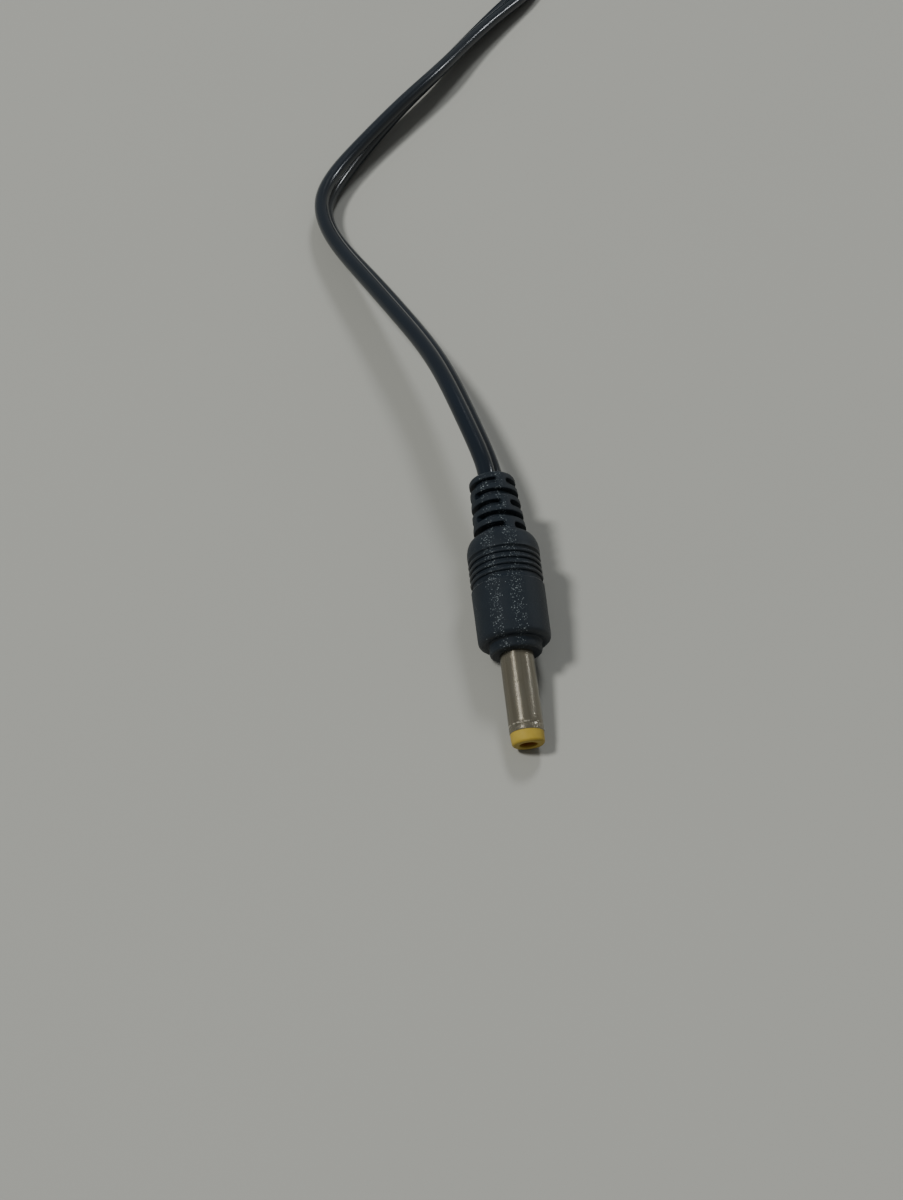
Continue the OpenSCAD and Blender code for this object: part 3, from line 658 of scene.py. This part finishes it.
def distanceFrom(tree, value, middle):
    away = addNode(tree, "Math", {"operation": "SUBTRACT"}, {0: value, 1: middle})
    return addNode(tree, "Math", {"operation": "ABSOLUTE"}, {0: away})


# the painted glints: bright specks of painted highlight on the body's grain
paintedGlints = {
    "bands": ((0.01858, 0.0011), (0.02135, 0.0012)),  # metres round the wall to each band, and half its width
    "perMetre": 9000.0,  # facets of 0.11 mm, drawn as coarse as they need to show
    "patchesPerMetre": 1500.0,  # 0.7 mm
    "rare": 0.992, "common": 0.46,  # the draw that a facet has to beat, outside the bands and in them
    "fewBright": 2.6,
}


def paintedGrainGlints(tree):
    # painted glints: facets of the grain painted bright as if catching the light, cells picked by a random
    # draw, thickly in two bands that run the body's length where the lamps' highlights fall and hardly
    # outside them, each with its own brightness and a soft rim
    place = addNode(tree, "TexCoord").outputs["Object"]
    cells = addNode(tree, "TexVoronoi", {}, {"Vector": place, "Scale": paintedGlints["perMetre"]})
    draws = addNode(tree, "SeparateColor", {}, {"Color": cells.outputs["Color"]})
    bands = 0.0
    for middle, half in paintedGlints["bands"]:
        away = distanceFrom(tree, wallMetres(tree, 1), middle)
        near = addNode(tree, "MapRange", {"interpolation_type": "SMOOTHSTEP"}, {
            "Value": away, "From Min": half, "From Max": half * 0.4})
        bands = addNode(tree, "Math", {"operation": "ADD"}, {0: bands, 1: near})
    patches = solidPattern(tree, paintedGlints["patchesPerMetre"], 1.0)
    share = addNode(tree, "Math", {"operation": "MULTIPLY"}, {0: bands, 1: patches})
    limit = addNode(tree, "MapRange", {}, {
        "Value": share, "From Max": 0.7, "To Min": paintedGlints["rare"], "To Max": paintedGlints["common"]})
    chosen = addNode(tree, "Math", {"operation": "GREATER_THAN"}, {0: draws.outputs[0], 1: limit})
    level = addNode(tree, "Math", {"operation": "POWER"}, {0: draws.outputs[1], 1: paintedGlints["fewBright"]})
    bright = addNode(tree, "Math", {"operation": "MULTIPLY"}, {0: chosen, 1: level})
    rim = addNode(tree, "MapRange", {}, {
        "Value": cells.outputs["Distance"], "From Min": 0.5, "From Max": 0.3})
    return addNode(tree, "Math", {"operation": "MULTIPLY"}, {0: bright, 1: rim})


def blackPvc():
    # soft PVC moulded in a spark-eroded tool: matte, with painted glints of light on its grain, and edges
    # that hands rub shiny
    material, tree, shader = startMaterial("mouldedPvc", {"IOR": 1.5, "Specular IOR Level": 0.45})
    cloud = solidPattern(tree, 420.0, 3.0)  # 2.4 mm
    grain = solidPattern(tree, 9000.0, 3.0, 0.65)  # 0.11 mm, drawn as coarse as it needs to show
    shade = addNode(tree, "Mix", {"data_type": "RGBA"}, {0: cloud, 6: "#09121b", 7: "#101b25"})
    # the glints' pale colour is painted highlight, mixed over the body's own tone
    colour = addNode(tree, "Mix", {"data_type": "RGBA"}, {
        0: paintedGrainGlints(tree), 6: shade.outputs[2], 7: "#a9b3b6"})
    rubbed = addNode(tree, "Attribute", {"attribute_name": "rubbed"}).outputs["Fac"]
    rough = addNode(tree, "MapRange", {}, {"Value": grain, "To Min": 0.46, "To Max": 0.7})
    rough = addNode(tree, "Mix", {}, {0: rubbed, 2: rough, 3: 0.14})
    finishShader(tree, shader, colour, rough, grain, 0.5, 0.00006)
    return material


def cordPvc():
    # extruded PVC: glossy black, with faint lines that the die draws along it and slow waves in its wall
    material, tree, shader = startMaterial("extrudedPvc", {"IOR": 1.5, "Specular IOR Level": 0.4})
    lines = wallPattern(tree, (25, 1800), 2.0)  # 40 mm by 0.6 mm
    waves = wallPattern(tree, (110, 160), 1.0)  # 9 mm by 6 mm
    colour = addNode(tree, "Mix", {"data_type": "RGBA"}, {0: waves, 6: "#06101a", 7: "#0a1724"})
    rough = addNode(tree, "MapRange", {}, {"Value": lines, "To Min": 0.13, "To Max": 0.22})
    shallow = addNode(tree, "Math", {"operation": "MULTIPLY"}, {0: lines, 1: 0.15})
    height = addNode(tree, "Math", {"operation": "ADD"}, {0: shallow, 1: waves})
    finishShader(tree, shader, colour, rough, height, 0.12, 0.0001)
    return material


def turnedNickel():
    # nickel plate on turned brass: fine lines round the tube, and worn stripes and stains along it
    material, tree, shader = startMaterial("turnedNickel", {"Metallic": 1.0})
    turned = wallPattern(tree, (9000, 260), 3.0)  # 0.11 mm by 4 mm, as coarse as needed to show
    stripe = wallPattern(tree, (120, 2400), 4.0)  # 8 mm by 0.4 mm
    stain = wallPattern(tree, (300, 700), 3.0)  # 3 mm by 1.4 mm
    plate = addNode(tree, "Mix", {"data_type": "RGBA"}, {0: stripe, 6: "#64615a", 7: "#a3a095"})
    stained = addNode(tree, "Mix", {"data_type": "RGBA"}, {0: stain, 6: plate.outputs[2], 7: "#857d6e"})
    # worn specks, near the lip only
    nearLip = addNode(tree, "MapRange", {"interpolation_type": "SMOOTHSTEP"}, {
        "Value": wallMetres(tree, 0), "From Min": 0.0017, "From Max": 0.0011})
    speck = addNode(tree, "MapRange", {}, {
        "Value": solidPattern(tree, 7000.0, 1.0), "From Min": 0.55, "From Max": 0.66})  # 0.14 mm
    worn = addNode(tree, "Math", {"operation": "MULTIPLY"}, {0: nearLip, 1: speck})
    shown = addNode(tree, "Mix", {"data_type": "RGBA"}, {0: worn, 6: stained.outputs[2], 7: "#a59e90"})
    # the turned line's rear edge is worn, and painted near white as a highlight, in dashes of 2.5 mm by 0.4
    # mm
    onLine = addNode(tree, "MapRange", {}, {
        "Value": distanceFrom(tree, wallMetres(tree, 0), lineAt), "From Min": 0.00009, "From Max": 0.00004})
    paintedHighlightDash = addNode(tree, "MapRange", {}, {
        "Value": wallPattern(tree, (400, 2600), 2.0), "From Min": 0.5, "From Max": 0.6})
    edge = addNode(tree, "Math", {"operation": "MULTIPLY"}, {0: onLine, 1: paintedHighlightDash})
    # the painted highlight's near-white colour over the plate
    colour = addNode(tree, "Mix", {"data_type": "RGBA"}, {0: edge, 6: shown.outputs[2], 7: "#fbf6ea"})
    rough = addNode(tree, "MapRange", {}, {"Value": stripe, "To Min": 0.17, "To Max": 0.34})
    rough = addNode(tree, "Mix", {}, {0: edge, 2: rough, 3: 0.6})
    relief = addNode(tree, "Math", {"operation": "ADD"}, {0: turned, 1: worn})
    finishShader(tree, shader, colour, rough, relief, 0.35, 0.00003)
    return material


def beadAcetal():
    # yellow moulded acetal: satin, with painted shade in darker brown inside its mouth, where the profile's
    # length starts
    material, tree, shader = startMaterial("yellowAcetal", {"IOR": 1.48, "Specular IOR Level": 0.3})
    cloud = solidPattern(tree, 900.0, 3.0)  # 1.1 mm
    grain = solidPattern(tree, 8000.0, 2.0)  # 0.13 mm, drawn as coarse as it needs to show
    yellow = addNode(tree, "Mix", {"data_type": "RGBA"}, {0: cloud, 6: "#9a8430", 7: "#b39c45"})
    # painted shade: the mouth's inside is coloured darker brown, where the hole stays in shade
    outside = addNode(tree, "MapRange", {"interpolation_type": "SMOOTHSTEP"}, {
        "Value": wallMetres(tree, 0), "From Min": 0.0087, "From Max": 0.0091})
    colour = addNode(tree, "Mix", {"data_type": "RGBA"}, {0: outside, 6: "#93601f", 7: yellow.outputs[2]})
    rough = addNode(tree, "MapRange", {}, {"Value": grain, "To Min": 0.42, "To Max": 0.6})
    finishShader(tree, shader, colour, rough, grain, 0.3, 0.00002)
    return material


def plainPlastic(name, light, dark, roughness, perMetre):
    # moulded plastic: an even colour that drifts a little, and a faint grain drawn at 0.13 mm to show
    material, tree, shader = startMaterial(name, {"IOR": 1.5})
    cloud = solidPattern(tree, perMetre, 3.0)
    grain = solidPattern(tree, 8000.0, 2.0)
    colour = addNode(tree, "Mix", {"data_type": "RGBA"}, {0: cloud, 6: dark, 7: light})
    rough = addNode(tree, "MapRange", {}, {
        "Value": grain, "To Min": roughness - 0.06, "To Max": roughness + 0.08})
    finishShader(tree, shader, colour, rough, grain, 0.3, 0.00002)
    return material


def plainMetal(name, light, dark, roughness):
    # turned or stamped metal: its colour and polish drift over a grain of 0.3 mm
    material, tree, shader = startMaterial(name, {"Metallic": 1.0})
    grain = solidPattern(tree, 3000.0, 4.0)
    colour = addNode(tree, "Mix", {"data_type": "RGBA"}, {0: grain, 6: dark, 7: light})
    rough = addNode(tree, "MapRange", {}, {
        "Value": grain, "To Min": roughness - 0.08, "To Max": roughness + 0.12})
    finishShader(tree, shader, colour, rough, grain, 0.2, 0.00003)
    return material


extruded = cordPvc()
tinnedCopper = plainMetal("tinnedCopper", "#c9c9c6", "#9c9b96", 0.34)  # dipped in solder: pale and satin
contactBrass = plainMetal("tinPlatedBrass", "#c8a765", "#8f6a33", 0.36)  # thin tin over yellow brass
copper = plainMetal("bareCopper", "#d28a5e", "#a85f38", 0.35)  # fresh from the stripped core: salmon red
solder = plainMetal("solder", "#b9bbbd", "#8d8f92", 0.3)  # set from the melt: grey and smooth
natural = plainPlastic("naturalPolyethylene", "#e4e2d8", "#d2cfc2", 0.45, 500.0)  # uncoloured: milky
tiePlastic = plainPlastic("tiePlastic", "#232425", "#141515", 0.42, 700.0)  # film over a wire: dull black
for piece, slot, material in (
        (cord, "cord_lead", extruded), (cores["plus"], "lead_end_plus", extruded),
        (cores["minus"], "lead_end_minus", extruded), (tinned["plus"], "tinned_end_plus", tinnedCopper),
        (tinned["minus"], "tinned_end_minus", tinnedCopper), (tie, "coil_tie", tiePlastic),
        (tieEnds, "coil_tie", tiePlastic), (body, "overmould", blackPvc()),
        (barrel, "barrel_sleeve", turnedNickel()), (bead, "tip_insulator", beadAcetal())):
    piece.data.materials.append(material)
for name, material in (
        ("center_contact", contactBrass), ("rear_bush", natural), ("inner_mould", natural),
        ("ground_lug", contactBrass), ("plus_strands", copper), ("minus_strands", copper),
        ("plus_solder", solder), ("minus_solder", solder), ("cord_in_plug", tiePlastic)):
    nodes[name].material_slots[0].material = material
print("materials given")

# the table top, the lamps and the pale surround
room = {
    "table": "#9fa09b", "tableDark": "#9d9e99", "tableLight": "#a2a39e", "tableR": 1.3, "tableSides": 128,
    "aim": (0, 0.03, 0),  # metres; the lamps stand round this point
    "lamps": {
        # way towards the lamp, distance and size in metres, watts, colour, and what it shows in
        "left": ((-0.6, 0.05, 1.0), 3.0, 0.52, 69.0, "#fffefa", "diffuse"),
        "leftPane": ((-0.6, 0.05, 1.0), 3.0, 0.38, 12.5, "#fffefa", "glossy"),
        "back": ((0.35, 0.95, 1.0), 3.0, 0.68, 37.5, "#fdfeff", "diffuse"),
        "backPane": ((0.35, 0.95, 1.0), 3.0, 1.0, 2.4, "#fdfeff", "glossy"),
        "window": ((0.8, 0.42, 0.43), 3.0, 0.3, 9.0, "#f6faff", "glossy"),
    },
    "worldColour": "#ffffff", "worldStrength": 0.165,
}


def addTable():
    # a flat disc, far wider than anything on it: tableR (cos a, sin a)
    a = circle(room["tableSides"])
    rim = np.column_stack([np.cos(a), np.sin(a), 0 * a]) * room["tableR"]
    mesh = bpy.data.meshes.new("tableTop")
    mesh.from_pydata(rim.tolist(), [], [list(range(len(a)))])
    table = bpy.data.objects.new("tableTop", mesh)
    bpy.context.scene.collection.objects.link(table)
    # rolled emulsion paint: matte pale grey, clouded over 11 cm
    material, tree, shader = startMaterial("paintedTable", {"Roughness": 0.7, "Specular IOR Level": 0.25})
    cloud = solidPattern(tree, 9.0, 3.0)
    colour = addNode(tree, "Mix", {"data_type": "RGBA"}, {
        0: cloud, 6: room["tableDark"], 7: room["tableLight"]})
    tree.links.new(colour.outputs[2], shader.inputs["Base Color"])
    mesh.materials.append(material)


def addLamp(name, way, distance, size, watts, colour, shows):
    # a round lamp that looks back along its way; it shows either in matte light or in reflections
    lampData = bpy.data.lights.new(name + "Lamp", "AREA")
    lampData.shape = "DISK"
    lampData.size = size
    lampData.energy = watts
    lampData.color = linear(colour)[:3]
    lamp = bpy.data.objects.new(name + "Lamp", lampData)
    lamp.visible_diffuse = shows == "diffuse"
    lamp.visible_glossy = shows == "glossy"
    way = unit(np.array(way))
    lamp.location = way * distance + room["aim"]
    lamp.rotation_euler = (math.acos(way[2]), 0, math.atan2(way[0], -way[1]))
    bpy.context.scene.collection.objects.link(lamp)


def lightSurround():
    # a plain surround: the table's grey where it is seen, straight or in a reflection, and a dim white light
    world = bpy.data.worlds.new("surround")
    world.use_nodes = True
    bpy.context.scene.world = world
    tree = world.node_tree
    tree.nodes.clear()
    paths = addNode(tree, "LightPath").outputs
    seen = addNode(tree, "Math", {"operation": "MAXIMUM"}, {
        0: paths["Is Camera Ray"], 1: paths["Is Transmission Ray"]})
    seen = addNode(tree, "Math", {"operation": "MAXIMUM"}, {0: seen, 1: paths["Is Glossy Ray"]})
    lit = addNode(tree, "Background", {}, {"Color": room["worldColour"], "Strength": room["worldStrength"]})
    shown = addNode(tree, "Background", {}, {"Color": room["table"], "Strength": 1.0})
    both = addNode(tree, "MixShader", {}, {0: seen, 1: lit, 2: shown})
    addNode(tree, "OutputWorld", {}, {"Surface": both})


addTable()
for name, lampSizes in room["lamps"].items():
    addLamp(name, *lampSizes)
lightSurround()
print("room lit")
